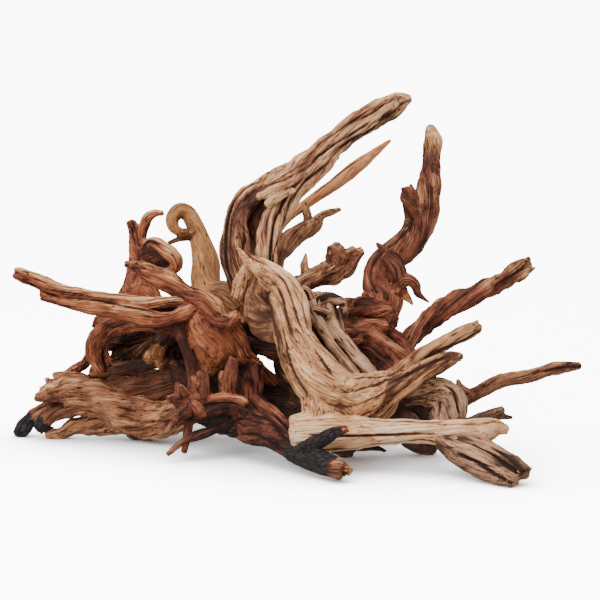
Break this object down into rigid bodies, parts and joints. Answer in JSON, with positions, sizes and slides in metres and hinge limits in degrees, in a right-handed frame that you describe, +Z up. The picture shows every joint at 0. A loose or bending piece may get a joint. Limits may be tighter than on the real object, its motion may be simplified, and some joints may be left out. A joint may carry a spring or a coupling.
{
  "type": "piece of driftwood",
  "caption": "Tangled root end of driftwood: limbs, forks and curled roots grown as one piece of wood, lying on worn undersides.",
  "frame": {"origin": "middle of the footprint's box, on the ground that the wood lies on", "axes": "+X along the wood's longest spread, to the right in the picture; +Y away from the picture's viewer; +Z up"},
  "size_m": [0.5769, 0.3881, 0.3505],
  "materials": {
    "driftwood": "bare weathered wood, matt"
  },
  "bodies": {
    "root": {"driftwood": "driftwood"}
  },
  "joints": []
}
